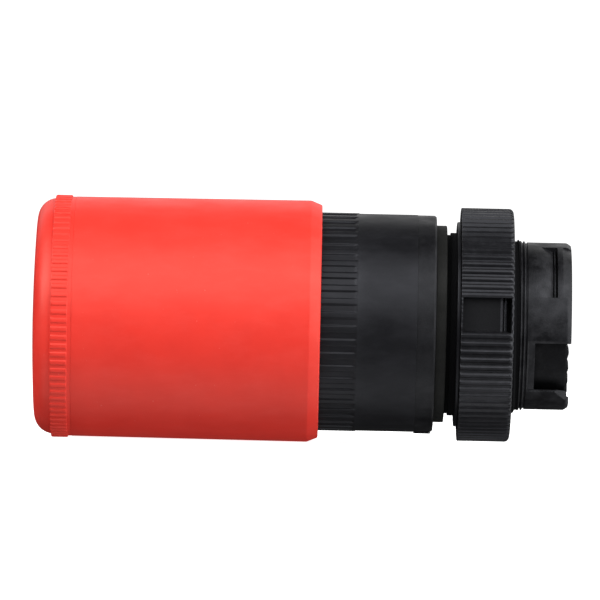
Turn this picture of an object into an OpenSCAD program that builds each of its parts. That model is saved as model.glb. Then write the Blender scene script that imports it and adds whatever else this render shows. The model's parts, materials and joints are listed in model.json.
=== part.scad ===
// Emergency stop button for a 22.5 mm panel hole: a tall red cylindrical head that is pushed to stop
// and turned to release, on a black plastic body that a ring nut holds to the panel.
// Each sub-part is drawn along +Z, which points out of the panel towards the user, with z = 0 in the
// panel's front face. in_place() then turns it so that the button faces -Y on an upright panel.

/* [Head] */
// Diameter of the red sleeve at its rear end
head_d = 29.52; // [29.4:0.02:29.8]
// Diameter of the red sleeve at its front end
head_front_d = 29.28; // [29.2:0.02:29.36]
// Diameter over the serrated ring
knurl_d = 29.62; // [29.6:0.02:30]
// Number of serrations round the ring
knurl_count = 88; // [60:4:96]
// Height of the dome's top above the panel
head_front = 50.34; // [50.3:0.02:51]
// Height of the sleeve's rear edge above the panel
sleeve_rear = 15.28; // [15.2:0.02:15.8]
// Radius of curvature of the dome
dome_r = 200; // [150:10:240]
// Radius of the dome's rounded edge
dome_edge_r = 2.4; // [2.2:0.1:2.5]

/* [Body in front of the panel] */
// Diameter of the bell between its flange and its ribs
bell_d = 26.62; // [26.5:0.02:26.64]
// Diameter over the bell's ribs
rib_d = 26.68; // [26.66:0.02:26.8]
// Number of ribs round the bell
rib_count = 50; // [30:2:60]
// Height at which the ribs start
rib_start = 10.7; // [8:0.1:10.8]
// Diameter of the body's flange
flange_d = 26.7; // [26.5:0.05:26.8]
// Thickness of the rubber gasket
gasket_t = 1.3; // [1:0.1:1.5]
// Diameter of the rubber gasket
gasket_d = 24.06; // [23.6:0.02:24.4]

/* [Body behind the panel] */
// Diameter of the shoulder that centres the body in the panel hole
register_d = 22.36; // [22.3:0.02:22.4]
// Diameter over the thread
thread_d = 21.42; // [21.3:0.02:21.5]
// Diameter at the bottom of the thread
thread_root_d = 20.62; // [20.5:0.02:20.7]
// Pitch of the thread
thread_pitch = 1; // [0.9:0.05:1]
// Diameter of the plain barrel at the rear
barrel_d = 20.42; // [20.3:0.02:20.5]
// Distance from the panel's front face to the barrel's rear end
barrel_len = 15.18; // [15.1:0.02:15.5]

/* [Ring nut] */
// Diameter over the nut's ribs
nut_d = 28.5; // [28:0.1:29.5]
// Number of ribs round the nut
nut_rib_count = 88; // [60:4:96]
// Length of the nut
nut_len = 6.4; // [6:0.1:6.5]
// Panel thickness between the gasket and the washer
panel_t = 1.25; // [1.1:0.05:1.3]
// Thickness of the washer in front of the nut
washer_t = 0.45; // [0.4:0.05:0.5]

/* [Motion] */
// Travel of the head from released to latched
travel = 4.5; // [4.2:0.1:4.5]
// Angle that the head turns through to release
release_angle = 40; // [38:1:42]
// How far each latch springs out
latch_out = 0.9; // [0.7:0.05:0.9]

/* [Hidden] */

red = [0.86, 0.16, 0.12];
black = [0.13, 0.13, 0.15];
dark = [0.08, 0.08, 0.09];
grey = [0.5, 0.5, 0.52];
rubber = [0.1, 0.11, 0.1];
steel = [0.72, 0.73, 0.76];
bronze = [0.75, 0.57, 0.32];
ivory = [0.88, 0.86, 0.8];

round_fn = 96;
// The dome is a small part of a large circle, so it needs many more segments
dome_fn = 3600;
// Clearance of parts that slide or turn in each other
run = 0.05;
// How far a cutter reaches past the surface that it cuts
over = 1;
// Half width of a cutter that takes away a whole side of a piece
far = 20;

// Head
head_wall = 1.15;
sleeve_in_r = head_d / 2 - head_wall - run;
sleeve_front = head_front - 5;
sleeve_chamfer = [0.54, 1.35];
cap_spigot = 1.9;
cap_wall = 1.25;
cap_roof = 2.25;
knurl_rear = head_front - 4.5;
knurl_front = head_front - 2.51;
knurl_groove_r = 0.2;
collar_r = head_front_d / 2 - 0.08;
hub_front = sleeve_front - cap_spigot - 0.1;
hub_rear = hub_front - 2.4;
hub_web = 2;
ledge_t = 1.4;
ledge_in_r = sleeve_in_r - 1.2;
arrow_count = 3;
arrow_depth = 0.25;
arrow_r = 7.8;
arrow_w = 1.2;
arrow_sweep = 62;
arrow_head = [3.2, 2.4];

// Spindle and hub
spindle_r = 3.5;
spindle_flat = 2.9;
stub_r = 3;
screw_r = 1.5;
screw_head_r = 2.8;
screw_len = 9.5;
hub_tube_r = 6.6;
disc_r = 6.3;
disc_front = -1.6;
disc_rear = -5.2;

// Latches
latch_w = 4;
latch_front = -2.4;
latch_rear = -4.4;
latch_tip_r = 6.5;
latch_in_x = 2.1;
latch_slope = 0.8;
pocket_r = 1;
pocket_depth = 1.5;

// Cam sleeve
cam_r = 9;
cam_in_r = latch_tip_r + latch_out + 0.2;
cam_front = -0.9;
cam_rear = -14.95;
ridge_r = latch_tip_r + 0.1;
ridge_front = latch_rear - 0.2;
ridge_rear = latch_front - travel + 0.2;
channel_half = 19;
crown_count = 26;
crown_depth = 0.2;
key_w = 2.4;
key_r = 8.25;
key_slot_front = -7.2;

// Mounting body
flange_front = 3.6;
flange_bevel = 0.2;
neck_r = 10.92;
neck_len = 0.45;
register_len = 0.92;
barrel_in_r = cam_r + run;
rim_chamfer = 0.55;
thread_count = 8;
thread_first = -1.95;
thread_end = -9.7;
thread_flank = 0.4;
thread_crest = 0.08;
spigot_r = 11.9;
spigot_in_r = 10.6;
spigot_front = 8.6;
guide_r = 6.3;
guide_front = 14.3;
seal_cap_front = guide_front + 0.95;
seal_pocket_r = 5.15;
seal_pocket_rear = 12.5;
bush_r = 4.6;
web_hole_r = 3.8;
tab_w = 3;
tab_h = 0.12;

// Openings in the barrel's wall, as angles from +X towards +Y and heights
window = [20, 70];
window_z = [-13.45, -11.5];
window_slot = 0.57;
lead_in_z = -14.1;
cutout = [-52, -12];
cutout_z = -10.6;
lead_in_depth = 0.2;
ramp_floor_r = 9.66;

// Bell
bell_in_r = spigot_r + 0.03;
bell_front = hub_rear - ledge_t - travel - 0.6;
rib_floor_r = rib_d / 2 - 0.23;

// Springs
coil_sides = 8;
coil_steps = 20;
spring_mean_r = 9.3;
spring_wire_r = 0.6;
torsion_mean_r = 7.6;
torsion_wire_r = 0.4;
latch_spring_mean_r = 0.66;
latch_spring_wire_r = 0.14;

// Rear parts
thrust_t = 0.45;
pusher_front = disc_rear - thrust_t - 0.1;
pusher_tube_r = 5;
pusher_disc_r = 7.3;
pusher_disc = [-12.6, -10.6];
pusher_rim = -14;
pusher_rim_in_r = 5.6;
fin_front = -7.6;
clip_t = 0.5;
clip_r = 5.1;
clip_groove_r = 2.4;
stub_rear = -13.8;

// Nut
washer_r = 12.51;
washer_in_r = register_d / 2 + 0.07;
nut_front = -panel_t - washer_t;
nut_rear = nut_front - nut_len;
nut_bore_r = thread_d / 2 + 0.09;
nut_counterbore = 1.3;
nut_edge_r = 0.55;
nut_groove_depth = 0.26;
notch_angle = 5.6;
notch_w = 4;
notch_floor_r = 13.1;
notch_pocket_r = 12.2;
notch_rim = 0.3;
notch_rib_z = [-6.88, -6.62];
notch_floor_z = [-6.3, nut_front - 0.2];

// Turns a piece drawn along +Z so that its front faces -Y
module in_place() {
    rotate([90, 0, 0]) children();
}

// A body of revolution, from its outline as [radius, height] points
module turned(outline) {
    rotate_extrude($fn = round_fn) polygon(outline);
}

module ring(outer_r, inner_r, rear, front) {
    turned([[inner_r, rear], [outer_r, rear], [outer_r, front], [inner_r, front]]);
}

// Part of a body of revolution, between two angles
module sector(outline, from, to) {
    rotate([0, 0, from]) rotate_extrude(angle = to - from, $fn = round_fn) polygon(outline);
}

// A disc with shallow grooves round its edge
module grooved_disc(outer_r, floor_r, count, share, rear, front) {
    translate([0, 0, rear]) linear_extrude(front - rear) difference() {
        circle(outer_r, $fn = round_fn);
        for (i = [0:count - 1]) rotate(360 * (i + 0.5) / count)
            translate([floor_r + over / 2, 0]) square([over, 2 * PI * outer_r * share / count], center = true);
    }
}

// A helical spring of round wire with one close turn at each end
module coil(mean_r, wire_r, rear, front, turns) {
    steps = round(turns * coil_steps);
    close = 2.1 * wire_r;
    open = (front - rear - 2 * wire_r - 2 * close) / (turns - 2);
    function height(t) = rear + wire_r + close * (min(t, 1) + max(t - turns + 1, 0))
        + open * max(min(t, turns - 1) - 1, 0);
    points = [for (i = [0:steps], j = [0:coil_sides - 1])
        let (t = i / coil_steps, around = 360 * j / coil_sides, r = mean_r + wire_r * cos(around))
        [r * cos(360 * t), r * sin(360 * t), height(t) + wire_r * sin(around)]];
    walls = [for (i = [0:steps - 1], j = [0:coil_sides - 1], half = [0, 1])
        let (a = i * coil_sides + j, b = i * coil_sides + (j + 1) % coil_sides)
        half == 0 ? [a, b, b + coil_sides] : [a, b + coil_sides, a + coil_sides]];
    start_cap = [for (j = [0:coil_sides - 1]) coil_sides - 1 - j];
    end_cap = [for (j = [0:coil_sides - 1]) steps * coil_sides + j];
    polyhedron(points, concat([start_cap], walls, [end_cap]));
}

// Outline of the domed front with its rounded edge, before the cavity behind it is cut
module dome_outline() {
    edge_x = head_front_d / 2 - 0.22 - dome_edge_r;
    edge_z = head_front - dome_r + sqrt(pow(dome_r - dome_edge_r, 2) - pow(edge_x, 2));
    tip = [edge_x, edge_z + dome_r - head_front] * (dome_r + over) / (dome_r - dome_edge_r);
    intersection() {
        union() {
            polygon([
                [0, sleeve_front], [collar_r, sleeve_front], [collar_r, knurl_front - 0.05],
                [edge_x + dome_edge_r, knurl_front - 0.05], [edge_x + dome_edge_r, edge_z],
                [edge_x, edge_z], [tip[0], tip[1] + head_front - dome_r], [0, head_front + over]
            ]);
            translate([edge_x, edge_z]) circle(dome_edge_r, $fn = round_fn);
        }
        translate([0, head_front - dome_r]) circle(dome_r, $fn = dome_fn);
    }
}

// One of the release arrows on the front, running clockwise as the user sees it
module arrow() {
    difference() {
        circle(arrow_r + arrow_w / 2, $fn = round_fn);
        circle(arrow_r - arrow_w / 2, $fn = round_fn);
        rotate(arrow_sweep) translate([-far, 0]) square([2 * far, far]);
        translate([-far, -far]) square([2 * far, far]);
    }
    translate([arrow_r, 0])
        polygon([[-arrow_head[0] / 2, 0.2], [arrow_head[0] / 2, 0.2], [0, -arrow_head[1]]]);
}

module front_cap() {
    color(red) in_place() difference() {
        union() {
            rotate_extrude($fn = round_fn) difference() {
                dome_outline();
                square([sleeve_in_r - cap_wall, head_front - cap_roof]);
            }
            grooved_ring();
            ring(sleeve_in_r - run, sleeve_in_r - cap_wall, sleeve_front - cap_spigot, sleeve_front + 0.2);
        }
        for (i = [0:arrow_count - 1]) rotate([0, 0, 90 + 360 * i / arrow_count])
            translate([0, 0, head_front - pow(arrow_r, 2) / 2 / dome_r - arrow_depth])
                linear_extrude(over) arrow();
    }
}

module grooved_ring() {
    translate([0, 0, knurl_rear]) linear_extrude(knurl_front - knurl_rear) difference() {
        circle(knurl_d / 2, $fn = round_fn);
        circle(collar_r - 0.5, $fn = round_fn);
        for (i = [0:knurl_count - 1]) rotate(360 * i / knurl_count)
            translate([knurl_d / 2 + knurl_groove_r / 4, 0]) circle(knurl_groove_r, $fn = 16);
    }
}

module head_sleeve() {
    color(red) in_place() turned([
        [sleeve_in_r, sleeve_rear], [head_d / 2 - sleeve_chamfer[0], sleeve_rear],
        [head_d / 2, sleeve_rear + sleeve_chamfer[1]], [head_front_d / 2, sleeve_front],
        [sleeve_in_r, sleeve_front], [sleeve_in_r, hub_rear], [ledge_in_r, hub_rear],
        [ledge_in_r, hub_rear - ledge_t], [sleeve_in_r, hub_rear - ledge_t - 0.6]
    ]);
}

module head_hub() {
    hub_tube_rear = seal_cap_front + travel + 0.15;
    color(dark) in_place() difference() {
        turned([
            [screw_r + 0.1, hub_front], [sleeve_in_r - run, hub_front], [sleeve_in_r - run, hub_rear],
            [hub_tube_r, hub_rear], [hub_tube_r, hub_tube_rear], [screw_r + 0.1, hub_tube_rear]
        ]);
        translate([0, 0, hub_tube_rear - over]) linear_extrude(hub_front - hub_web - hub_tube_rear + over)
            spindle_section(0.02);
    }
}

// Cross-section of the spindle where its flat drives the hub
module spindle_section(gap) {
    intersection() {
        circle(spindle_r + gap, $fn = round_fn);
        translate([-far, -far]) square([far + spindle_flat + gap, 2 * far]);
    }
}

module hub_screw() {
    head_t = 1.7;
    socket_r = 1.5;
    socket_depth = 1;
    color(steel) in_place() difference() {
        turned([
            [0, hub_front - screw_len], [screw_r, hub_front - screw_len], [screw_r, hub_front],
            [screw_head_r, hub_front], [screw_head_r, hub_front + head_t - 0.4],
            [screw_head_r - 0.4, hub_front + head_t], [0, hub_front + head_t]
        ]);
        translate([0, 0, hub_front + head_t - socket_depth])
            cylinder(h = socket_depth + over, r = socket_r, $fn = 6);
    }
}

module spindle() {
    front = hub_front - hub_web - run;
    hole_rear = hub_front - screw_len - 0.5;
    groove_front = pusher_disc[0];
    groove_rear = groove_front - clip_t - 2 * run;
    color(steel) in_place() difference() {
        turned([
            [0, stub_rear], [stub_r, stub_rear], [stub_r, groove_rear], [clip_groove_r, groove_rear],
            [clip_groove_r, groove_front], [stub_r, groove_front], [stub_r, disc_rear],
            [disc_r, disc_rear], [disc_r, disc_front],
            [spindle_r, disc_front], [spindle_r, front], [screw_r + run, front],
            [screw_r + run, hole_rear], [0, hole_rear]
        ]);
        translate([-far, -latch_w / 2 - run, latch_rear - run])
            cube([2 * far, latch_w + 2 * run, latch_front - latch_rear + 2 * run]);
        translate([spindle_flat, -far, guide_front + travel + 1]) cube([far, 2 * far, 2 * far]);
    }
}

module torsion_spring() {
    color(steel) in_place() coil(torsion_mean_r, torsion_wire_r, 24, hub_rear - 1.5, 9);
}

module return_spring() {
    color(steel) in_place() coil(spring_mean_r, spring_wire_r, flange_front + 0.6, hub_rear - 0.02, 10);
}

// A latch on the +X side of the spindle, at its inner position
module latch() {
    intersection() {
        translate([latch_in_x, -latch_w / 2, latch_rear])
            cube([latch_tip_r, latch_w, latch_front - latch_rear]);
        difference() {
            turned([
                [0, latch_rear], [latch_tip_r - latch_slope, latch_rear],
                [latch_tip_r, latch_rear + latch_slope], [latch_tip_r, latch_front], [0, latch_front]
            ]);
            translate([0, 0, (latch_rear + latch_front) / 2]) rotate([0, 90, 0])
                cylinder(h = latch_in_x + pocket_depth, r = pocket_r - 0.1, $fn = 48);
        }
    }
}

module latch_left() {
    color(ivory) in_place() rotate([0, 0, 180]) latch();
}

module latch_right() {
    color(ivory) in_place() latch();
}

module latch_spring() {
    reach = latch_in_x + pocket_depth - 0.05;
    color(steel) in_place() translate([0, 0, (latch_rear + latch_front) / 2]) rotate([0, 90, 0])
        coil(latch_spring_mean_r, latch_spring_wire_r, -reach, reach, 7);
}

module pusher() {
    root = pusher_tube_r - 0.5;
    color(grey) in_place() {
        turned([
            [stub_r + run, pusher_front], [pusher_tube_r, pusher_front],
            [pusher_tube_r, pusher_disc[1]], [pusher_disc_r, pusher_disc[1]],
            [pusher_disc_r, pusher_rim], [pusher_rim_in_r, pusher_rim],
            [pusher_rim_in_r, pusher_disc[0]], [stub_r + run, pusher_disc[0]]
        ]);
        for (side = [0, 180]) rotate([0, 0, side]) translate([-key_w / 2, root, pusher_disc[0]])
            cube([key_w, key_r - root, fin_front - pusher_disc[0]]);
    }
}

module thrust_washer() {
    color(bronze) in_place() ring(pusher_tube_r, stub_r + run, pusher_front + run, disc_rear - run);
}

module retaining_clip() {
    front = pusher_disc[0] - run;
    color(steel) in_place() difference() {
        ring(clip_r, clip_groove_r + 0.02, front - clip_t, front);
        translate([0, -clip_groove_r * 0.8, front - clip_t - over])
            cube([clip_r + over, clip_groove_r * 1.6, clip_t + 2 * over]);
    }
}

module bell_sleeve() {
    color(black) in_place() difference() {
        union() {
            grooved_disc(rib_d / 2, rib_floor_r, rib_count, 0.5, rib_start, bell_front);
            translate([0, 0, flange_front]) cylinder(h = rib_start - flange_front, d = bell_d, $fn = round_fn);
        }
        translate([0, 0, flange_front - over])
            cylinder(h = bell_front - flange_front + 2 * over, r = bell_in_r, $fn = round_fn);
    }
}

// The thread's ridges, from the rear forwards, as part of the body's outline
function thread_outline() = [for (i = [thread_count - 1:-1:0])
    let (z = thread_first - thread_pitch * i)
    each [
        [thread_root_d / 2, z - thread_flank], [thread_d / 2, z - thread_crest],
        [thread_d / 2, z + thread_crest], [thread_root_d / 2, z + thread_flank]
    ]];

module mounting_body() {
    color(black) in_place() difference() {
        union() {
            turned(concat(
                [
                    [web_hole_r, cam_front], [barrel_in_r, cam_front], [barrel_in_r, -barrel_len],
                    [barrel_d / 2 - rim_chamfer, -barrel_len], [barrel_d / 2, -barrel_len + rim_chamfer],
                    [barrel_d / 2, thread_end], [thread_root_d / 2, thread_end]
                ],
                thread_outline(),
                [
                    [thread_root_d / 2, -neck_len - register_len],
                    [register_d / 2, -neck_len - register_len], [register_d / 2, -neck_len],
                    [neck_r, -neck_len], [neck_r, gasket_t], [flange_d / 2 - flange_bevel, gasket_t],
                    [flange_d / 2, gasket_t + flange_bevel], [flange_d / 2, flange_front],
                    [spigot_r, flange_front], [spigot_r, spigot_front], [spigot_in_r, spigot_front],
                    [spigot_in_r, flange_front], [guide_r, flange_front], [guide_r, guide_front],
                    [seal_pocket_r, guide_front], [seal_pocket_r, seal_pocket_rear],
                    [bush_r, seal_pocket_rear], [bush_r, flange_front + 0.3],
                    [web_hole_r, flange_front + 0.3]
                ]
            ));
            tab();
        }
        for (turn = [0, 180]) rotate([0, 0, turn]) barrel_openings();
    }
}

// The locating tab at the bottom of the flange
module tab() {
    intersection() {
        ring(flange_d / 2 + tab_h, flange_d / 2 - over, gasket_t + flange_bevel, flange_front);
        translate([-tab_w / 2, -flange_d, 0]) cube([tab_w, flange_d, flange_front]);
    }
}

// What the contact block's collar catches in: a ramped window, a lead-in at the rim and a wide cut-out
module barrel_openings() {
    out = barrel_d / 2 + over;
    slot_front = window_z[0] + window_slot;
    sector([
        [out, window_z[1]], [barrel_d / 2, window_z[1]], [ramp_floor_r, slot_front],
        [barrel_in_r - 0.2, slot_front], [barrel_in_r - 0.2, window_z[0]], [out, window_z[0]]
    ], window[0], window[1]);
    sector([
        [out, lead_in_z], [barrel_d / 2 - lead_in_depth, lead_in_z], [ramp_floor_r, -barrel_len - over],
        [out, -barrel_len - over]
    ], window[0], window[1]);
    sector([
        [out, cutout_z], [barrel_in_r - 0.2, cutout_z], [barrel_in_r - 0.2, -barrel_len - over],
        [out, -barrel_len - over]
    ], cutout[0], cutout[1]);
}

module panel_gasket() {
    color(rubber) in_place() ring(gasket_d / 2, neck_r + 0.03, 0, gasket_t);
}

module cam_sleeve() {
    root = cam_in_r - 0.5;
    ridge = [
        [ridge_r, ridge_rear], [cam_in_r + 0.5, ridge_rear], [cam_in_r + 0.5, ridge_front - 0.01],
        [cam_in_r, ridge_front], [ridge_r, ridge_front - (cam_in_r - ridge_r)]
    ];
    color(dark) in_place() difference() {
        union() {
            ring(cam_r, cam_in_r, cam_rear + crown_depth, cam_front);
            crown();
            for (turn = [0, 180]) rotate([0, 0, turn - release_angle])
                sector(ridge, channel_half, 180 - channel_half);
        }
        for (side = [0, 180]) rotate([0, 0, side])
            translate([-key_w / 2 - 2 * run, root, cam_rear - over])
                cube([key_w + 4 * run, key_r + 4 * run - root, key_slot_front - cam_rear + over]);
    }
}

// The notched rear edge of the cam sleeve
module crown() {
    translate([0, 0, cam_rear]) linear_extrude(crown_depth + 0.1) difference() {
        circle(cam_r, $fn = round_fn);
        circle(cam_in_r, $fn = round_fn);
        for (i = [0:crown_count - 1]) rotate(360 * i / crown_count)
            translate([cam_r, 0]) square([2 * far / 5, PI * cam_r / crown_count], center = true);
    }
}

module guide_bush() {
    color(bronze) in_place() ring(bush_r - 0.02, spindle_r + run, flange_front + 0.35, seal_pocket_rear - run);
}

module spindle_seal() {
    section_r = (seal_pocket_r - spindle_r) / 2 - 0.03;
    color(rubber) in_place() rotate_extrude($fn = round_fn)
        translate([(seal_pocket_r + spindle_r) / 2, seal_pocket_rear + section_r + run])
            circle(section_r, $fn = 32);
}

module seal_cap() {
    skirt = 3;
    wall = 0.8;
    hole_r = spindle_r + 0.2;
    color(grey) in_place() turned([
        [hole_r, guide_front + run], [guide_r + run, guide_front + run],
        [guide_r + run, guide_front - skirt], [guide_r + wall, guide_front - skirt],
        [guide_r + wall, seal_cap_front], [hole_r, seal_cap_front]
    ]);
}

module spring_seat() {
    color(steel) in_place()
        ring(spigot_in_r - 0.15, guide_r + 0.15, flange_front + run, flange_front + 0.55);
}

module stop_washer() {
    color(ivory) in_place() ring(cam_in_r - 0.2, web_hole_r, disc_front + 0.1, cam_front - run);
}

module lock_washer() {
    color(black) in_place() ring(washer_r, washer_in_r, nut_front + run, -panel_t);
}

module fixing_nut() {
    color(black) in_place() difference() {
        intersection() {
            grooved_disc(nut_d / 2, nut_d / 2 - nut_groove_depth, nut_rib_count, 0.5, nut_rear, nut_front);
            rotate_extrude($fn = round_fn) nut_outline();
        }
        for (turn = [0, 180]) rotate([0, 0, notch_angle + turn]) notch();
    }
}

// Half section of the nut, with a rounded rear edge
module nut_outline() {
    difference() {
        union() {
            translate([nut_bore_r, nut_rear + nut_edge_r])
                square([nut_d / 2 - nut_bore_r, nut_len - nut_edge_r]);
            translate([nut_bore_r, nut_rear]) square([nut_d / 2 - nut_edge_r - nut_bore_r, nut_len]);
            translate([nut_d / 2 - nut_edge_r, nut_rear + nut_edge_r]) circle(nut_edge_r, $fn = 32);
        }
        translate([0, nut_front - nut_counterbore]) square([register_d / 2 + 0.12, nut_counterbore + over]);
    }
}

// The notch for a spanner: a shallow floor, then a deeper pocket with a thin rib across it
module notch() {
    rear = nut_rear + notch_rim;
    difference() {
        translate([notch_pocket_r, -notch_w / 2, rear]) cube([far, notch_w, notch_floor_z[1] - rear]);
        translate([0, -notch_w, notch_floor_z[0]]) cube([notch_floor_r, 2 * notch_w, far]);
        translate([0, -notch_w, notch_rib_z[0]])
            cube([notch_floor_r, 2 * notch_w, notch_rib_z[1] - notch_rib_z[0]]);
    }
}

front_cap();
head_sleeve();
head_hub();
hub_screw();
spindle();
torsion_spring();
return_spring();
latch_left();
latch_right();
latch_spring();
pusher();
thrust_washer();
retaining_clip();
bell_sleeve();
mounting_body();
panel_gasket();
cam_sleeve();
guide_bush();
spindle_seal();
seal_cap();
spring_seat();
stop_washer();
lock_washer();
fixing_nut();
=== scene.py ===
"""Looks of the emergency stop button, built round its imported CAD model.

The button faces -Y and its axis is the Y axis. Stations are written in millimetres as in the CAD
source: r is the distance from the axis and z the height above the panel's front face, towards the user.
"""
import json
import math

import bmesh
import bpy
import numpy as np
from mathutils import Matrix, Vector


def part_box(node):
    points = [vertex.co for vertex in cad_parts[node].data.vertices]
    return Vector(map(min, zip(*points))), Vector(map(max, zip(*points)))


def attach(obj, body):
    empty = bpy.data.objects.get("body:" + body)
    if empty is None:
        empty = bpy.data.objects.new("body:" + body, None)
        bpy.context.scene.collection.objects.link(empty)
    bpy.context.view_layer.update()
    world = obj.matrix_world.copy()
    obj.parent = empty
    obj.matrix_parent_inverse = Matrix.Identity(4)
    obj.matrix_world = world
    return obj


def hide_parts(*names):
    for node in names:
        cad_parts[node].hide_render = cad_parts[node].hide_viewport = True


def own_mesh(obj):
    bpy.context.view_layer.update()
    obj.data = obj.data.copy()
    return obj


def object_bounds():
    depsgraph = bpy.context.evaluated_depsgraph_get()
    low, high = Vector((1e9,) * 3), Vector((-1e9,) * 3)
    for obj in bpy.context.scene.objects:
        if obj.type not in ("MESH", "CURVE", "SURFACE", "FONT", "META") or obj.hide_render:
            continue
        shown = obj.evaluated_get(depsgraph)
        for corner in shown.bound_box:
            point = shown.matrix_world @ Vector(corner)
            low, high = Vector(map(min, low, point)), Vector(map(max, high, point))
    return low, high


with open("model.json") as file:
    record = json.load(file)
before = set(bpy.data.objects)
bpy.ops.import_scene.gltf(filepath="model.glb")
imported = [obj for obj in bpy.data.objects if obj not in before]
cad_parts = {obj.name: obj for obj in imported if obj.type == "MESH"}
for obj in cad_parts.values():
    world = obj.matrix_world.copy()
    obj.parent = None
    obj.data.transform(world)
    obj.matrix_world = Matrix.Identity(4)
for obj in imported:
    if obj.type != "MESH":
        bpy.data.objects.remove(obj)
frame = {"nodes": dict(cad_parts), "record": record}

cad_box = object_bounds()
MM = 0.001


# ---------------------------------------------------------------- stations taken from the frame

def span(node):
    """Rear and front height of a CAD node, and its outer radius, in millimetres."""
    low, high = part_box(node)
    return -high.y / MM, -low.y / MM, high.x / MM


CAP_REAR, APEX, KNURL_R = span("front_cap")
SLEEVE_REAR, SLEEVE_FRONT, SLEEVE_R = span("head_sleeve")
BELL_REAR, BELL_FRONT, RIB_R = span("bell_sleeve")
BODY_REAR, GUIDE_FRONT, FLANGE_R = span("mounting_body")
TAB_RISE = -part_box("mounting_body")[0].z / MM - FLANGE_R - 0.01
GASKET_REAR, GASKET_FRONT, GASKET_R = span("panel_gasket")
WASHER_REAR, WASHER_FRONT, WASHER_R = span("lock_washer")
NUT_REAR, NUT_FRONT, NUT_R = span("fixing_nut")
CAM_REAR, CAM_FRONT, CAM_R = span("cam_sleeve")

KNURLS = 88
BELL_RIBS = 50
NUT_RIBS = 88
CROWN_WAVES = 26
THREAD_PITCH = 1.0


# ---------------------------------------------------------------- mesh helpers

def rounded(points, radius=0.12, steps=4):
    """A closed outline with its corners rounded. A point may give its own radius as a third value."""
    out = []
    count = len(points)
    for i, point in enumerate(points):
        here = np.array(point[:2], float)
        before = np.array(points[i - 1][:2], float)
        after = np.array(points[(i + 1) % count][:2], float)
        own = point[2] if len(point) > 2 else radius
        back, on = before - here, after - here
        back_len, on_len = np.linalg.norm(back), np.linalg.norm(on)
        cos_turn = np.clip(back @ on / (back_len * on_len), -1, 1)
        half = math.acos(cos_turn) / 2
        if own <= 0 or half > math.radians(88):
            out.append(tuple(here))
            continue
        reach = min(own / math.tan(half), 0.45 * back_len, 0.45 * on_len)
        arc_r = reach * math.tan(half)
        start, end = here + back / back_len * reach, here + on / on_len * reach
        bisector = (back / back_len + on / on_len)
        bisector /= np.linalg.norm(bisector)
        centre = here + bisector * (arc_r / math.sin(half))
        a0, a1 = start - centre, end - centre
        swing = math.atan2(a0[0] * a1[1] - a0[1] * a1[0], a0 @ a1)
        for k in range(steps + 1):
            t = swing * k / steps
            c, s = math.cos(t), math.sin(t)
            out.append(tuple(centre + np.array([c * a0[0] - s * a0[1], s * a0[0] + c * a0[1]])))
    return out


def filled(outline, step):
    """The outline with extra points, so that no edge is longer than step."""
    out = []
    for i, here in enumerate(outline):
        here, after = np.array(here, float), np.array(outline[(i + 1) % len(outline)], float)
        pieces = max(1, math.ceil(np.linalg.norm(after - here) / step))
        out += [tuple(here + (after - here) * k / pieces) for k in range(pieces)]
    return out


def finish_mesh(mesh, smooth_below=32):
    """Faces outwards, smooth shading, and sharp edges above an angle in degrees."""
    bm = bmesh.new()
    bm.from_mesh(mesh)
    bmesh.ops.remove_doubles(bm, verts=bm.verts, dist=1e-8)
    bmesh.ops.recalc_face_normals(bm, faces=bm.faces)
    if bm.calc_volume(signed=True) < 0:
        bmesh.ops.reverse_faces(bm, faces=bm.faces)
    bm.to_mesh(mesh)
    bm.free()
    mesh.polygons.foreach_set("use_smooth", [True] * len(mesh.polygons))
    mesh.set_sharp_from_angle(angle=math.radians(smooth_below))


def add_object(name, mesh):
    made = bpy.data.objects.new(name, mesh)
    bpy.context.scene.collection.objects.link(made)
    return made


def lathe(name, outline, count=256, shape=None, smooth_below=32):
    """Sweeps a closed (r, z) outline round the axis. shape(r, z, angle) may move the points."""
    r = np.array([p[0] for p in outline])[:, None] * np.ones(count)
    z = np.array([p[1] for p in outline])[:, None] * np.ones(count)
    angle = (2 * np.pi * np.arange(count) / count)[None, :] * np.ones((len(outline), 1))
    if shape:
        r, z = shape(r, z, angle)
    co = np.stack([r * np.cos(angle), -z, r * np.sin(angle)], axis=-1).reshape(-1, 3) * MM
    rows = len(outline)
    faces = [
        (i * count + j, ((i + 1) % rows) * count + j,
         ((i + 1) % rows) * count + (j + 1) % count, i * count + (j + 1) % count)
        for i in range(rows) for j in range(count)
    ]
    mesh = bpy.data.meshes.new(name)
    mesh.from_pydata(co.tolist(), [], faces)
    finish_mesh(mesh, smooth_below)
    return add_object(name, mesh)


def wedge(outline, start, end, steps=24):
    """A closed cutter: an (r, z) outline swept from one angle to another, in degrees."""
    angles = np.radians(np.linspace(start, end, steps + 1))
    rows = len(outline)
    co = [(r * math.cos(a) * MM, -z * MM, r * math.sin(a) * MM) for a in angles for r, z in outline]
    faces = [
        (k * rows + i, k * rows + (i + 1) % rows, (k + 1) * rows + (i + 1) % rows, (k + 1) * rows + i)
        for k in range(steps) for i in range(rows)
    ]
    faces += [tuple(range(rows)), tuple(range(steps * rows, (steps + 1) * rows))]
    mesh = bpy.data.meshes.new("cutter")
    mesh.from_pydata(co, [], faces)
    finish_mesh(mesh)
    return add_object("cutter", mesh)


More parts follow.
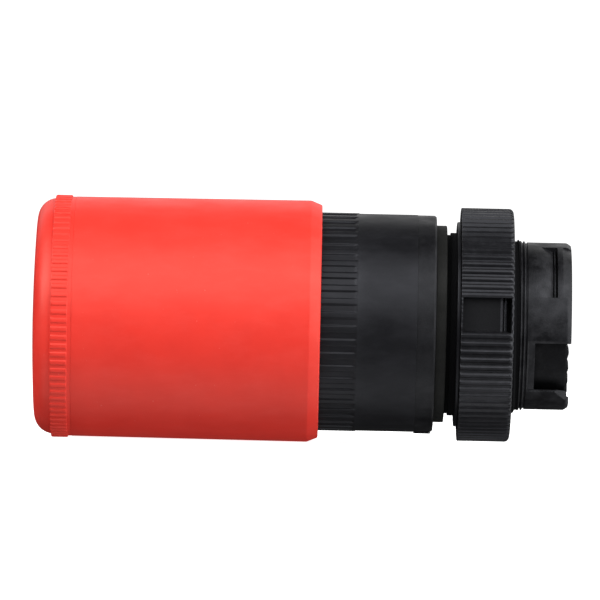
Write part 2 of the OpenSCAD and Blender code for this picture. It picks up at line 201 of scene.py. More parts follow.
def block(low, high, turn=0.0):
    """A closed box between two (x, z, side) corners in millimetres, turned about the axis in degrees.

    x runs outwards from the axis, z is the height and side runs round the axis."""
    bm = bmesh.new()
    bmesh.ops.create_cube(bm, size=1)
    size = [high[i] - low[i] for i in range(3)]
    middle = [(high[i] + low[i]) / 2 for i in range(3)]
    c, s = math.cos(math.radians(turn)), math.sin(math.radians(turn))
    for v in bm.verts:
        x, z, side = [middle[i] + v.co[i] * size[i] for i in range(3)]
        v.co = Vector(((c * x - s * side) * MM, -z * MM, (s * x + c * side) * MM))
    mesh = bpy.data.meshes.new("block")
    bm.to_mesh(mesh)
    bm.free()
    finish_mesh(mesh)
    return add_object("block", mesh)


def cut(piece, cutters, smooth_below=32, operation="DIFFERENCE"):
    """Cuts closed shapes out of a piece, or joins them to it, and removes them."""
    for cutter in cutters:
        change = piece.modifiers.new("cut", "BOOLEAN")
        change.operation, change.solver, change.object = operation, "EXACT", cutter
    depsgraph = bpy.context.evaluated_depsgraph_get()
    mesh = bpy.data.meshes.new_from_object(piece.evaluated_get(depsgraph))
    piece.modifiers.clear()
    old, piece.data = piece.data, mesh
    bpy.data.meshes.remove(old)
    for cutter in cutters:
        bpy.data.meshes.remove(cutter.data)
    mesh.polygons.foreach_set("use_smooth", [True] * len(mesh.polygons))
    mesh.set_sharp_from_angle(angle=math.radians(smooth_below))
    return piece


def steps(angle, count, share, edge):
    """1 on each of count lands round the circle, 0 between them, with sloping flanks edge wide."""
    phase = (angle * count / (2 * np.pi)) % 1
    distance = np.abs(phase - 0.5)
    return np.clip((share / 2 + edge / 2 - distance) / edge, 0, 1)


# ---------------------------------------------------------------- materials

def mix_colour(nodes, links, factor, a, b):
    """A colour mix driven by a factor socket."""
    mix = nodes.new("ShaderNodeMix")
    mix.data_type = "RGBA"
    links.new(factor, mix.inputs["Factor"])
    for name, value in (("A", a), ("B", b)):
        socket = [s for s in mix.inputs if s.name == name and s.type == "RGBA"][0]
        if isinstance(value, bpy.types.NodeSocket):
            links.new(value, socket)
        else:
            socket.default_value = (*value, 1)
    return [s for s in mix.outputs if s.type == "RGBA"][0]


def noise(nodes, links, scale, detail=4.0, stretch=(1, 1, 1), roughness=0.55):
    """Noise in object space, in cycles per metre, stretched along the axes."""
    coords = nodes.new("ShaderNodeTexCoord")
    mapping = nodes.new("ShaderNodeMapping")
    mapping.inputs["Scale"].default_value = stretch
    texture = nodes.new("ShaderNodeTexNoise")
    texture.inputs["Scale"].default_value = scale
    texture.inputs["Detail"].default_value = detail
    texture.inputs["Roughness"].default_value = roughness
    links.new(coords.outputs["Object"], mapping.inputs["Vector"])
    links.new(mapping.outputs["Vector"], texture.inputs["Vector"])
    return texture.outputs["Fac"]


def ramp(nodes, links, factor, low, high, from_value=0.0, to_value=1.0):
    """Maps a factor from one range to another, clamped."""
    mapped = nodes.new("ShaderNodeMapRange")
    mapped.inputs["From Min"].default_value = low
    mapped.inputs["From Max"].default_value = high
    mapped.inputs["To Min"].default_value = from_value
    mapped.inputs["To Max"].default_value = to_value
    links.new(factor, mapped.inputs["Value"])
    return mapped.outputs["Result"]


def band(nodes, links, value, low, high, edge):
    """1 where a value lies between low and high, fading over edge."""
    rise = ramp(nodes, links, value, low - edge, low)
    fall = ramp(nodes, links, value, high, high + edge, 1, 0)
    both = nodes.new("ShaderNodeMath")
    both.operation = "MULTIPLY"
    links.new(rise, both.inputs[0])
    links.new(fall, both.inputs[1])
    return both.outputs["Value"]


def recesses(nodes, links, heights, radius):
    """1 where shade is painted into recesses: between pairs of heights and, if given, nearer to the axis than a radius.
    """
    coords = nodes.new("ShaderNodeTexCoord")
    parts = nodes.new("ShaderNodeSeparateXYZ")
    links.new(coords.outputs["Object"], parts.inputs["Vector"])
    found = [band(nodes, links, parts.outputs["Y"], -top * MM, -bottom * MM, 0.05 * MM)
             for bottom, top in heights]
    total = found[0]
    for extra in found[1:]:
        most = nodes.new("ShaderNodeMath")
        most.operation = "MAXIMUM"
        links.new(total, most.inputs[0])
        links.new(extra, most.inputs[1])
        total = most.outputs["Value"]
    if radius:
        across = nodes.new("ShaderNodeCombineXYZ")
        links.new(parts.outputs["X"], across.inputs["X"])
        links.new(parts.outputs["Z"], across.inputs["Z"])
        length = nodes.new("ShaderNodeVectorMath")
        length.operation = "LENGTH"
        links.new(across.outputs["Vector"], length.inputs[0])
        inner = ramp(nodes, links, length.outputs["Value"], (radius - 0.05) * MM, (radius + 0.05) * MM, 1, 0)
        both = nodes.new("ShaderNodeMath")
        both.operation = "MULTIPLY"
        links.new(total, both.inputs[0])
        links.new(inner, both.inputs[1])
        total = both.outputs["Value"]
    return total


def plastic(name, colour, light, dark, gloss=(0.34, 0.46), grain=0.02, specks=None, smudge=0.5,
            specular=0.5, tint=(1, 1, 1), cloud=260, painted_shade=None, recess_roughness=0.9, drifts=90,
            scuff=(420, 0.5, 0.75), stretch=(1, 0.35, 1), worn=None):
    """Moulded plastic: colour drift, smudges, a change of gloss, a fine moulded grain, and specks.

    worn is a height in millimetres below which the smudges are at their strongest. A recess description, if given,
    paints shade into recesses: their colour is made darker there in place of the shade that falls in them, and their
    gloss and sheen are lowered."""
    material = bpy.data.materials.new(name)
    material.use_nodes = True
    nodes, links = material.node_tree.nodes, material.node_tree.links
    shader = nodes["Principled BSDF"]
    drift = ramp(nodes, links, noise(nodes, links, drifts, 4), 0.3, 0.7)
    tone = mix_colour(nodes, links, drift, dark, colour)
    scuffs = ramp(nodes, links, noise(nodes, links, scuff[0], 6, stretch, 0.7), scuff[1], scuff[2], 0, smudge)
    if worn is not None:
        parts = nodes.new("ShaderNodeSeparateXYZ")
        links.new(nodes.new("ShaderNodeTexCoord").outputs["Object"], parts.inputs["Vector"])
        fade = nodes.new("ShaderNodeMath")
        fade.operation = "MULTIPLY"
        links.new(ramp(nodes, links, parts.outputs["Y"], -(worn + 0.5) * MM, -worn * MM, 0.3, 1), fade.inputs[0])
        links.new(scuffs, fade.inputs[1])
        scuffs = fade.outputs["Value"]
    tone = mix_colour(nodes, links, scuffs, tone, light)
    if specks:
        points = ramp(nodes, links, noise(nodes, links, 2200, 2, roughness=0.4), 0.755, 0.80)
        tone = mix_colour(nodes, links, points, tone, specks)
    rough = ramp(nodes, links, noise(nodes, links, cloud, 5, (1, 0.6, 1)), 0.3, 0.72, gloss[0], gloss[1])
    # Painted shade: the recesses are mixed towards a dark colour, with rougher gloss and less sheen, in place of the
    # shade that falls in them.
    if painted_shade:
        recess_shade_mask = recesses(nodes, links, painted_shade["heights"], painted_shade.get("radius"))
        tone = mix_colour(nodes, links, recess_shade_mask, tone, painted_shade["colour"])
        blend = nodes.new("ShaderNodeMix")
        links.new(recess_shade_mask, blend.inputs[0])
        links.new(rough, blend.inputs[2])
        blend.inputs[3].default_value = recess_roughness
        rough = blend.outputs[0]
        sheen = nodes.new("ShaderNodeMix")
        links.new(recess_shade_mask, sheen.inputs[0])
        sheen.inputs[2].default_value, sheen.inputs[3].default_value = specular, painted_shade.get("sheen", specular)
        links.new(sheen.outputs[0], shader.inputs["Specular IOR Level"])
    links.new(tone, shader.inputs["Base Color"])
    links.new(rough, shader.inputs["Roughness"])
    bump = nodes.new("ShaderNodeBump")
    bump.inputs["Strength"].default_value = 0.35
    bump.inputs["Distance"].default_value = grain * MM
    links.new(noise(nodes, links, 5200, 3), bump.inputs["Height"])
    links.new(bump.outputs["Normal"], shader.inputs["Normal"])
    if not painted_shade:
        shader.inputs["Specular IOR Level"].default_value = specular
    shader.inputs["Specular Tint"].default_value = (*tint, 1)
    return material


def metal(name, colour, dark, gloss=(0.22, 0.4), lines=(1, 1, 1)):
    """Metal with fine tool marks and a slow change of tone."""
    material = bpy.data.materials.new(name)
    material.use_nodes = True
    nodes, links = material.node_tree.nodes, material.node_tree.links
    shader = nodes["Principled BSDF"]
    drift = ramp(nodes, links, noise(nodes, links, 300, 4), 0.3, 0.7)
    links.new(mix_colour(nodes, links, drift, dark, colour), shader.inputs["Base Color"])
    marks = noise(nodes, links, 900, 4, lines)
    links.new(ramp(nodes, links, marks, 0.3, 0.7, gloss[0], gloss[1]), shader.inputs["Roughness"])
    bump = nodes.new("ShaderNodeBump")
    bump.inputs["Strength"].default_value = 0.2
    bump.inputs["Distance"].default_value = 0.02 * MM
    links.new(marks, bump.inputs["Height"])
    links.new(bump.outputs["Normal"], shader.inputs["Normal"])
    shader.inputs["Metallic"].default_value = 1.0
    return material


RED = plastic("red_moulding", (0.75, 0.036, 0.0245), (0.76, 0.056, 0.044), (0.70, 0.032, 0.022),
              gloss=(0.36, 0.50), grain=0.015, specks=(0.76, 0.10, 0.08), smudge=0.4, specular=0.34,
              tint=(1, 0.95, 0.8), drifts=240, scuff=(600, 0.46, 0.72))
BLACK = plastic("black_moulding", (0.0058, 0.0058, 0.0068), (0.0125, 0.0125, 0.0145), (0.0042, 0.0042, 0.0050),
                gloss=(0.34, 0.54), grain=0.02, smudge=0.5, specular=0.27, tint=(0.88, 0.90, 1), drifts=300,
                scuff=(520, 0.46, 0.68))
# Painted shade: the band behind the gasket (heights -1.6 to 0) and the thread's groove behind the nut (-8.95 to -8.0)
# are painted dark, with less gloss and sheen.
BODY_BLACK = plastic("body_moulding", (0.0062, 0.0062, 0.0070), (0.0185, 0.0185, 0.0205), (0.0032, 0.0032, 0.0038),
                     gloss=(0.26, 0.62), grain=0.05, smudge=0.85, specular=0.27, tint=(0.9, 0.92, 1), cloud=480,
                     painted_shade={"heights": ((-1.6, 0.02), (-8.95, -8.0)), "colour": (0.0022, 0.0022, 0.0024), "sheen": 0.12},
                     drifts=420, scuff=(560, 0.44, 0.64), stretch=(1, 1, 1), worn=-9)
# Painted shade: within those heights, everything nearer the axis than 13.3 mm (the notch floors, the pockets and the
# bore) is painted dark, with less gloss and sheen.
NUT_BLACK = plastic("nut_moulding", (0.0055, 0.0055, 0.0064), (0.0145, 0.0145, 0.0165), (0.0036, 0.0036, 0.0042),
                    gloss=(0.30, 0.46), grain=0.04, smudge=0.6, specular=0.36, tint=(0.88, 0.90, 1), drifts=420,
                    painted_shade={"heights": ((-8.7, -7.24), (-6.4, 0)), "radius": 13.3, "colour": (0.0040, 0.0040, 0.0042), "sheen": 0.2}, recess_roughness=0.8,
                    scuff=(800, 0.46, 0.68), stretch=(1, 1, 1))
DARK = plastic("dark_moulding", (0.003, 0.003, 0.0034), (0.012, 0.012, 0.013), (0.002, 0.002, 0.0022),
               gloss=(0.5, 0.75), grain=0.03, smudge=0.6, specular=0.15, tint=(0.9, 0.92, 1), cloud=420,
               drifts=420, scuff=(500, 0.48, 0.68), stretch=(1, 1, 1))
GREY = plastic("grey_moulding", (0.10, 0.10, 0.105), (0.17, 0.17, 0.175), (0.08, 0.08, 0.085),
               gloss=(0.4, 0.55), grain=0.03, smudge=0.4)
IVORY = plastic("ivory_moulding", (0.70, 0.67, 0.58), (0.8, 0.78, 0.7), (0.62, 0.59, 0.5),
                gloss=(0.35, 0.5), grain=0.02, smudge=0.4)
RUBBER = plastic("gasket_rubber", (0.0072, 0.0074, 0.0066), (0.013, 0.013, 0.0115), (0.005, 0.0052, 0.0046),
                 gloss=(0.6, 0.8), grain=0.05, smudge=0.5, specular=0.3)
SEAL = plastic("seal_rubber", (0.014, 0.014, 0.014), (0.03, 0.03, 0.03), (0.01, 0.01, 0.01),
               gloss=(0.5, 0.7), grain=0.04, smudge=0.4, specular=0.3)
STEEL = metal("turned_steel", (0.56, 0.57, 0.59), (0.45, 0.46, 0.48), lines=(1, 8, 1))
PLATED = metal("plated_steel", (0.52, 0.53, 0.55), (0.42, 0.43, 0.46))
WIRE = metal("spring_wire", (0.46, 0.47, 0.50), (0.34, 0.35, 0.38), gloss=(0.25, 0.4))
BRONZE = metal("sintered_bronze", (0.62, 0.44, 0.22), (0.5, 0.34, 0.16), gloss=(0.35, 0.5))

SLOT_MATERIALS = {
    "red_plastic": RED, "black_plastic": BLACK, "nut_plastic": NUT_BLACK, "dark_plastic": DARK,
    "grey_plastic": GREY, "ivory_plastic": IVORY, "gasket_rubber": RUBBER, "seal_rubber": SEAL,
    "spindle_steel": STEEL, "screw_steel": PLATED, "spring_steel": WIRE, "bronze": BRONZE,
}
node_slot = {s["node"]: s["material_slot"] for s in frame["record"]["subparts"]}
for node, obj in frame["nodes"].items():
    obj.data.materials.clear()
    obj.data.materials.append(SLOT_MATERIALS[node_slot[node]])
    obj.data.polygons.foreach_set("use_smooth", [True] * len(obj.data.polygons))
    obj.data.set_sharp_from_angle(angle=math.radians(30))


def stand_for(piece, node, body, material=None):
    """Makes a piece replace a CAD node, with that node's material slot, on its body."""
    piece.data.materials.clear()
    piece.data.materials.append(material or SLOT_MATERIALS[node_slot[node]])
    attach(piece, body)
    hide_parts(node)
    return piece


# ---------------------------------------------------------------- red head

def build_sleeve():
    wall_r = SLEEVE_R - 1.2
    ledge_r = wall_r - 1.2
    ledge_front = CAP_REAR - 2.5
    outline = rounded([
        (wall_r, SLEEVE_REAR, 0.15), (SLEEVE_R - 0.54, SLEEVE_REAR, 0.25),
        (SLEEVE_R, SLEEVE_REAR + 1.35, 0.6), (SLEEVE_R - 0.12, SLEEVE_FRONT, 0.02),
        (wall_r, SLEEVE_FRONT, 0.02), (wall_r, ledge_front, 0.1), (ledge_r, ledge_front, 0.1),
        (ledge_r, ledge_front - 1.4, 0.1), (wall_r, ledge_front - 2, 0.1),
    ])
    stand_for(lathe("sleeve_shell", filled(outline, 2.0), 360), "head_sleeve", "head")


def dome_points(edge_x, edge_r, dome_r):
    """Points of the domed front, from the axis outwards and round its edge."""
    edge_z = APEX - dome_r + math.sqrt((dome_r - edge_r) ** 2 - edge_x ** 2)
    lean = math.asin(edge_x / (dome_r - edge_r))
    crown = [(dome_r * math.sin(lean * k / 14), APEX - dome_r + dome_r * math.cos(lean * k / 14))
             for k in range(15)]
    edge = [(edge_x + edge_r * math.sin(a), edge_z + edge_r * math.cos(a))
            for a in np.linspace(lean, math.pi / 2, 14)[1:]]
    return crown + edge


def build_cap():
    collar_r = SLEEVE_R - 0.14
    knurl_rear, knurl_front = APEX - 4.5, APEX - 2.51
    spigot_r = SLEEVE_R - 1.25
    cavity_r = spigot_r - 1.2
    side = dome_points(12.02, 2.4, 200)
    front = side + rounded([
        (side[-1][0], knurl_front + 0.02, 0.04), (KNURL_R, knurl_front, 0.16), (KNURL_R, knurl_rear, 0.14),
        (collar_r, knurl_rear, 0.1), (collar_r, SLEEVE_FRONT + 0.01, 0.02),
        (spigot_r, SLEEVE_FRONT + 0.01, 0.05), (spigot_r, CAP_REAR, 0.1), (cavity_r, CAP_REAR, 0.1),
        (cavity_r, APEX - 2.25, 0.5), (0.002, APEX - 2.25, 0.0),
    ])
    front[0] = (0.002, APEX)

    def serrations(r, z, angle):
        on_ring = (z > knurl_rear - 0.05) & (z < knurl_front + 0.05) & (r > collar_r)
        land = steps(angle, KNURLS, 0.54, 0.12)
        return np.where(on_ring, collar_r + 0.05 + (r - collar_r - 0.05) * (0.12 + 0.88 * land), r), z

    cap = lathe("domed_cap", front, KNURLS * 12, serrations)
    stand_for(cap, "front_cap", "head")


# ---------------------------------------------------------------- black body

def build_bell():
    bell_r = RIB_R - 0.06
    floor_r = bell_r - 0.12
    inner_r = bell_r - 1.35
    start = 10.65
    outline = filled(rounded([
        (inner_r, BELL_REAR, 0.05), (bell_r, BELL_REAR, 0.02), (bell_r, start, 0.0), (RIB_R, start + 0.16, 0.0),
        (RIB_R, start + 0.2, 0.0), (RIB_R, start + 0.45, 0.0), (RIB_R, start + 0.7, 0.0), (RIB_R, BELL_FRONT, 0.2),
        (inner_r, BELL_FRONT, 0.2),
    ]), 1.5)

    def ribs(r, z, angle):
        deep = np.clip((z - start - 0.2) / 0.5, 0, 1) * (r > floor_r - 0.1)
        land = steps(angle, BELL_RIBS, 0.46, 0.07)
        return r + (floor_r + (r - floor_r) * land - r) * deep, z

    stand_for(lathe("ribbed_bell", outline, BELL_RIBS * 24, ribs), "bell_sleeve", "housing")


def prism(points, inner, outer, outer_points=None, step=3.0):
    """A closed cutter: a polygon of (angle in degrees, z) points, swept from one radius to another.

    outer_points gives the polygon at the outer radius its own shape, for sloping walls."""
    loops = [[], []]
    for i in range(len(points)):
        k = (i + 1) % len(points)
        pieces = max(1, math.ceil(abs(points[k][0] - points[i][0]) / step))
        for loop, shape in zip(loops, (points, outer_points or points)):
            (a, z), (b, y) = shape[i], shape[k]
            loop += [(a + (b - a) * n / pieces, z + (y - z) * n / pieces) for n in range(pieces)]
    count = len(loops[0])
    co = [(r * math.cos(math.radians(a)) * MM, -z * MM, r * math.sin(math.radians(a)) * MM)
          for r, loop in zip((inner, outer), loops) for a, z in loop]
    faces = [(i, (i + 1) % count, count + (i + 1) % count, count + i) for i in range(count)]
    faces += [tuple(range(count)), tuple(range(count, 2 * count))]
    mesh = bpy.data.meshes.new("prism")
    mesh.from_pydata(co, [], faces)
    finish_mesh(mesh)
    return add_object("prism", mesh)


def soften(piece, width, least=60, smooth_below=32):
    """Bevels the edges that turn by more than an angle in degrees, so that they catch the light."""
    bm = bmesh.new()
    bm.from_mesh(piece.data)
    bmesh.ops.remove_doubles(bm, verts=bm.verts, dist=2e-6)
    bmesh.ops.dissolve_degenerate(bm, edges=bm.edges, dist=2e-6)
    sharp = [e for e in bm.edges if len(e.link_faces) == 2 and e.calc_face_angle(0) > math.radians(least)]
    bmesh.ops.bevel(bm, geom=sharp, offset=width * MM, segments=2, profile=0.5, affect="EDGES",
                    clamp_overlap=True)
    bm.to_mesh(piece.data)
    bm.free()
    piece.data.polygons.foreach_set("use_smooth", [True] * len(piece.data.polygons))
    piece.data.set_sharp_from_angle(angle=math.radians(smooth_below))


def barrel_cutters(turn):
    """The catch window, the lead-in at the rim, the wide cut-out with its rims, and the rail's pointed end."""
    out, wall, through = 11.5, 10.21, 8.85
    window = [(out, -11.5), (wall, -11.5), (9.66, -12.88), (through, -12.88), (through, -13.0), (9.72, -13.03),
              (9.72, -13.2), (through, -13.23), (through, -13.45), (out, -13.45)]
    lead_in = [(out, -14.1), (wall - 0.03, -14.1), (wall - 0.45, -15.25), (9.5, -17), (out, -17)]
    rear, far = BODY_REAR, -17
    return [
        wedge(window, turn + 20, turn + 70), wedge(lead_in, turn + 20, turn + 70),
        prism([(turn - 64.7, -10.8), (turn - 12, -10.8), (turn - 12, far), (turn - 64.7, far)], through, out,
              [(turn - 40, -10.8), (turn - 12, -10.8), (turn - 12, far), (turn - 40, far)]),
        prism([(turn - 51, -10.1), (turn - 12.4, -10.1), (turn - 12.4, far), (turn - 51, far)], wall - 0.24, wall + 0.3,
              [(turn - 51, -9.7), (turn - 7.8, -9.7), (turn - 7.8, far), (turn - 51, far)]),
        prism([(turn - 51, rear + 0.5), (turn - 51, far), (turn - 70, far), (turn - 70, rear + 0.25)], through, out),
        facet((5.35, -8.8, 14.3), (0.750, -0.244, 0.614), 3.2, turn),
    ]


def facet(point, normal, size, turn):
    """A closed cube with one face through a point (x, z, y) in millimetres, on the side the normal points to."""
    bm = bmesh.new()
    bmesh.ops.create_cube(bm, size=size * MM)
    out = Vector((normal[0], normal[2], normal[1])).normalized()
    middle = Vector((point[0], point[2], point[1])) * MM + out * (size / 2 * MM)
    place = Matrix.Rotation(-math.radians(turn), 4, "Y") @ Matrix.Translation(middle)
    bmesh.ops.transform(bm, matrix=place @ out.to_track_quat("Z", "Y").to_matrix().to_4x4(), verts=bm.verts)
    mesh = bpy.data.meshes.new("facet")
    bm.to_mesh(mesh)
    bm.free()
    finish_mesh(mesh)
    return add_object("facet", mesh)


def build_body():
    barrel_r, root_r, crest_r = 10.21, 10.31, 10.71
    inner_r = CAM_R + 0.05
    thread_front, thread_rear = -1.6, -8.9
    register_r, neck_r = 11.18, 10.92
    flange_r = FLANGE_R - 0.12
    spigot_r = 11.9
    outline = rounded([
        (3.8, CAM_FRONT), (inner_r, CAM_FRONT), (inner_r, BODY_REAR, 0.1),
        (barrel_r - 0.35, BODY_REAR, 0.12), (barrel_r, BODY_REAR + 0.5, 0.6), (barrel_r, -9.84, 0.04),
        (barrel_r - 0.14, -9.74, 0.04), (barrel_r - 0.14, -9.66, 0.04), (barrel_r + 0.13, -9.5, 0.1),
        (barrel_r + 0.13, -9.38, 0.05), (barrel_r - 0.1, -9.3, 0.04), (barrel_r - 0.1, -9.24, 0.04),
        (barrel_r + 0.16, -9.1, 0.1), (barrel_r + 0.16, -8.98, 0.04),
    ]) + [(root_r, z) for z in np.arange(thread_rear, thread_front, 0.06)] + rounded([
        (root_r, -1.37, 0.05), (register_r, -1.37, 0.06), (register_r, -0.45, 0.06), (neck_r, -0.45, 0.05),
        (neck_r, GASKET_FRONT, 0.05), (flange_r - 0.16, GASKET_FRONT, 0.05), (flange_r, GASKET_FRONT + 0.24, 0.14),
        (flange_r, BELL_REAR, 0.02), (spigot_r, BELL_REAR, 0.03), (spigot_r, 8.6, 0.2), (spigot_r - 1.3, 8.6, 0.2),
        (spigot_r - 1.3, BELL_REAR, 0.2), (6.3, BELL_REAR, 0.2), (6.3, GUIDE_FRONT, 0.1),
        (5.15, GUIDE_FRONT, 0.1), (5.15, 12.5, 0.05), (4.6, 12.5, 0.05), (4.6, 3.9, 0.05), (3.8, 3.9, 0.05),
    ])

    def thread(r, z, angle):
        threaded = (z > thread_rear - 0.01) & (z < thread_front + 0.01) & (np.abs(r - root_r) < 0.01)
        turn = (z / THREAD_PITCH - angle / (2 * np.pi) + 0.65) % 1
        tooth = np.clip((0.30 - np.abs(turn - 0.5)) / 0.22, 0, 1)
        fade = np.clip((z - thread_rear) / 0.2, 0, 1) * np.clip((thread_front - z) / 0.35, 0, 1)
        return np.where(threaded, r + (crest_r - root_r) * tooth * fade, r), z

    body = lathe("barrel_and_flange", outline, 360, thread)
    tab = wedge([(flange_r - 1, 1.55), (FLANGE_R + TAB_RISE, 1.55), (FLANGE_R + TAB_RISE, BELL_REAR - 0.02),
                 (flange_r - 1, BELL_REAR - 0.02)], -96.4, -83.6, 8)
    cut(body, [tab], operation="UNION")
    cut(body, barrel_cutters(0) + barrel_cutters(180))
    soften(body, 0.05)
    stand_for(body, "mounting_body", "housing", BODY_BLACK)


def build_gasket():
    outline = rounded([
        (10.95, GASKET_REAR, 0.1), (GASKET_R, GASKET_REAR, 0.12), (GASKET_R, GASKET_FRONT, 0.1),
        (10.95, GASKET_FRONT, 0.1),
    ])
    stand_for(lathe("gasket_ring", outline, 180), "panel_gasket", "housing")


def build_washer():
    inner = 11.25
    outline = rounded([
        (inner, WASHER_REAR, 0.03), (WASHER_R, WASHER_REAR, 0.04), (WASHER_R, WASHER_FRONT, 0.14),
        (inner, WASHER_FRONT, 0.06),
    ])
    stand_for(lathe("washer_ring", outline, 180), "lock_washer", "washer")


def build_nut():
    root_r = NUT_R - 0.26
    bore_r, mouth_r = 10.80, 11.30
    outline = filled(rounded([
        (bore_r, NUT_REAR, 0.25), (NUT_R, NUT_REAR, 0.55), (NUT_R, NUT_FRONT, 0.12), (mouth_r, NUT_FRONT, 0.1),
        (mouth_r, NUT_FRONT - 1.3, 0.05), (bore_r, NUT_FRONT - 1.3, 0.05),
    ]), 0.8)

    def ribs(r, z, angle):
        land = steps(angle - math.radians(0.9), NUT_RIBS, 0.52, 0.23)
        return np.where(r > root_r, root_r + (r - root_r) * land, r), z

    nut = lathe("ribbed_nut", outline, NUT_RIBS * 12, ribs)
    floor_r, pocket_r, out = 13.1, 11.55, 16
    profile = [
        (out, NUT_FRONT - 0.2), (floor_r, NUT_FRONT - 0.2), (floor_r, -6.42), (floor_r - 0.15, -6.73),
        (pocket_r, -6.75), (pocket_r, -6.91), (floor_r - 0.02, -6.92), (floor_r + 0.02, -6.98),
        (floor_r - 0.08, -7.20), (pocket_r, -7.22), (pocket_r, NUT_REAR + 0.34),
        (13.75, NUT_REAR + 0.34), (13.95, NUT_REAR + 0.26), (out, NUT_REAR + 0.26),
    ]
    cut(nut, [notch_cutter(profile, floor_r, turn) for turn in (5.6, 185.6)])
    stand_for(nut, "fixing_nut", "nut")


def notch_cutter(profile, floor_r, turn):
    """The spanner notch, from its (x, z) section. Its lower wall leans outwards above the floor."""
    c, s = math.cos(math.radians(turn)), math.sin(math.radians(turn))
    low, high, lean = -2.0, 2.0, 0.42
    co = []
    for side in (low, high):
        for x, z in profile:
            at = side - lean * max(0.0, x - floor_r) if side == low else side
            co.append(((c * x - s * at) * MM, -z * MM, (s * x + c * at) * MM))
    count = len(profile)
    faces = [(i, (i + 1) % count, count + (i + 1) % count, count + i) for i in range(count)]
    faces += [tuple(range(count)), tuple(range(count, 2 * count))]
    mesh = bpy.data.meshes.new("notch")
    mesh.from_pydata(co, [], faces)
    finish_mesh(mesh)
    return add_object("notch", mesh)


def build_cam_sleeve():
    inner_r = CAM_R - 1.4
    outline = filled(rounded([
        (inner_r, CAM_REAR, 0.15), (CAM_R - 0.12, CAM_REAR, 0.05), (CAM_R, CAM_REAR + 0.45, 0.3), (CAM_R, CAM_FRONT, 0.1),
        (inner_r, CAM_FRONT, 0.1),
    ]), 1.5)

    def crown(r, z, angle):
        wave = 0.1 * (1 + np.cos(CROWN_WAVES * angle))
        return r, np.where(z < CAM_REAR + 0.3, z + wave, z)

    sleeve = lathe("crowned_sleeve", outline, CROWN_WAVES * 14, crown)
    cut(sleeve, [block((inner_r - 0.5, CAM_REAR - 1, -1.3), (8.45, -7.2, 1.3), turn) for turn in (90, 270)])
    stand_for(sleeve, "cam_sleeve", "housing")


build_sleeve()
build_cap()
build_bell()
build_body()
build_gasket()
build_washer()
build_nut()
build_cam_sleeve()


# ---------------------------------------------------------------- springs

def spring(name, node, body, axis_point, mean_r, wire_r, rear, front, turns, across=False):
    """A round-wire spring with a close turn at each end, as a swept tube."""
    per_turn, sides = 40, 14
    close = 2.1 * wire_r
    pitch = (front - rear - 2 * wire_r - 2 * close) / (turns - 2)
    co, faces = [], []
    count = turns * per_turn
    for i in range(count + 1):
        t = i / per_turn
        height = rear + wire_r + close * (min(t, 1) + max(t - turns + 1, 0)) + pitch * max(min(t, turns - 1) - 1, 0)
        a = 2 * math.pi * t
        for j in range(sides):
            b = 2 * math.pi * j / sides
            r, h = mean_r + wire_r * math.cos(b), height + wire_r * math.sin(b)
            x, y = r * math.cos(a), r * math.sin(a)
            co.append((h, axis_point - x, y) if across else (x, -h, y))
    for i in range(count):
        for j in range(sides):
            k = (j + 1) % sides
            faces.append((i * sides + j, i * sides + k, (i + 1) * sides + k, (i + 1) * sides + j))
    faces += [tuple(range(sides)), tuple(range(count * sides, (count + 1) * sides))]
    mesh = bpy.data.meshes.new(name)
    mesh.from_pydata([tuple(v * MM for v in p) for p in co], [], faces)
    finish_mesh(mesh, 60)
    return stand_for(add_object(name, mesh), node, body)


rear, front, _ = span("return_spring")
coil = spring("head_return_coil", "return_spring", "housing", 0, 9.3, 0.6, rear, front, 10)
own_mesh(coil)
rear, front, _ = span("torsion_spring")
spring("head_torsion_coil", "torsion_spring", "head", 0, 7.6, 0.4, rear, front, 9)
low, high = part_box("latch_spring")
spring("latch_coil", "latch_spring", "head", (low.y + high.y) / 2 / MM, 0.66, 0.14, low.x / MM, high.x / MM, 7,
       across=True)


# ---------------------------------------------------------------- floor, light and camera

def build_stage():
    """A white floor lit from below, so that it stays white round the button and shows only a faint shadow."""
    floor_z = cad_box[0].z
    mesh = bpy.data.meshes.new("floor")
    half = 6.0
    mesh.from_pydata([(-half, -half, floor_z), (half, -half, floor_z), (half, half, floor_z), (-half, half, floor_z)],
                     [], [(0, 1, 2, 3)])
    floor = add_object("floor", mesh)
    material = bpy.data.materials.new("pale_floor")
    material.use_nodes = True
    nodes, links = material.node_tree.nodes, material.node_tree.links
    shader = nodes["Principled BSDF"]
    drift = ramp(nodes, links, noise(nodes, links, 6, 2), 0.3, 0.7)
    pale = mix_colour(nodes, links, drift, (0.66, 0.66, 0.66), (0.70, 0.70, 0.70))
    links.new(pale, shader.inputs["Base Color"])
    shader.inputs["Roughness"].default_value = 0.9
    shader.inputs["Specular IOR Level"].default_value = 0.0
    shader.inputs["Emission Color"].default_value = (1, 1, 1, 1)
    coords = nodes.new("ShaderNodeTexCoord")
    reach = nodes.new("ShaderNodeVectorMath")
    reach.operation = "LENGTH"
    links.new(coords.outputs["Object"], reach.inputs[0])
    links.new(ramp(nodes, links, reach.outputs["Value"], 0.1, 0.6, 0.93, 1.1), shader.inputs["Emission Strength"])
    mesh.materials.append(material)
    floor.visible_diffuse = floor.visible_glossy = floor.visible_shadow = False


def strip_light(name, elevation, spread, radiance, distance=0.8, length=1.4):
    """A long soft light parallel to the button's axis, at an elevation above the camera's side, in degrees.

    spread is the angle it fills as the button sees it, in degrees."""
    middle = Vector((0, -0.018, 0))
    a = math.radians(elevation)
    place = middle + Vector((math.cos(a), 0, math.sin(a))) * distance
    width = 2 * distance * math.tan(math.radians(spread) / 2)
    data = bpy.data.lights.new(name, "AREA")
    data.shape, data.size, data.size_y = "RECTANGLE", width, length
    data.energy = radiance * math.pi * width * length
    light = bpy.data.objects.new(name, data)
    bpy.context.scene.collection.objects.link(light)
    out = (place - middle).normalized()
    along = Vector((0, 1, 0))
    turn = Matrix((along.cross(out), along, out)).transposed()
    light.matrix_world = Matrix.Translation(place) @ turn.to_4x4()


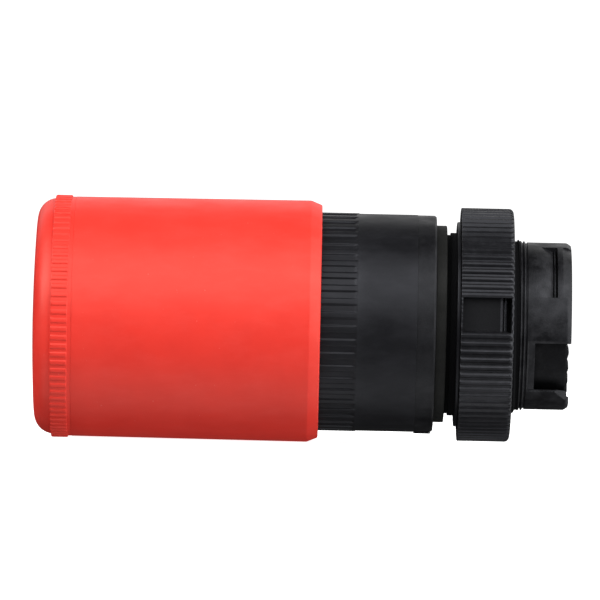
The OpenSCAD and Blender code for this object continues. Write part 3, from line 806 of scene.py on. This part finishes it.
def end_light(name, azimuth, elevation, size, radiance, distance=0.8):
    """A soft light towards one end of the button, size = (width, height). 90 degrees of azimuth is its rear."""
    middle = Vector((0, -0.018, 0))
    a, e = math.radians(azimuth), math.radians(elevation)
    out = Vector((math.cos(e) * math.cos(a), math.cos(e) * math.sin(a), math.sin(e)))
    data = bpy.data.lights.new(name, "AREA")
    data.shape, data.size, data.size_y = "RECTANGLE", *size
    data.energy = radiance * math.pi * size[0] * size[1]
    light = bpy.data.objects.new(name, data)
    bpy.context.scene.collection.objects.link(light)
    light.location = middle + out * distance
    light.rotation_euler = out.to_track_quat("Z", "Y").to_euler()


def build_lights():
    strip_light("softbox", 41, 50, 2.18)
    strip_light("back_panel", 147, 36, 0.82)
    strip_light("front_fill", -6, 60, 0.15)
    strip_light("table_bounce", -72, 50, 0.95, distance=0.5)
    end_light("rear_panel", 68, 18, (0.9, 1.3), 2.9)
    end_light("rear_table", 108, -30, (0.5, 0.4), 1.6)
    end_light("front_panel", -66, 30, (0.5, 0.6), 5.5)
    world = bpy.context.scene.world or bpy.data.worlds.new("world")
    bpy.context.scene.world = world
    world.use_nodes = True
    nodes, links = world.node_tree.nodes, world.node_tree.links
    back = nodes["Background"]
    path = nodes.new("ShaderNodeLightPath")
    back.inputs["Color"].default_value = (1, 1, 1, 1)
    links.new(ramp(nodes, links, path.outputs["Is Camera Ray"], 0, 1, 0.03, 1.2), back.inputs["Strength"])


def build_camera():
    lens, sensor = 450.0, 36.0
    frame_width = 73.42 * MM
    roll = math.radians(1.23)
    data = bpy.data.cameras.new("camera")
    data.lens, data.sensor_width = lens, sensor
    data.clip_start, data.clip_end = 0.01, 20
    camera = bpy.data.objects.new("camera", data)
    bpy.context.scene.collection.objects.link(camera)
    aim = Vector((0, -17.79 * MM, 2.56 * MM))
    back = Vector((1, 0, 0))
    up = Vector((0, -math.sin(roll), math.cos(roll)))
    right = up.cross(back)
    turn = Matrix((right, up, back)).transposed()
    camera.matrix_world = Matrix.Translation(aim + back * frame_width * lens / sensor) @ turn.to_4x4()
    bpy.context.scene.camera = camera


build_stage()
build_lights()
build_camera()
bpy.context.scene.view_settings.view_transform = "Standard"
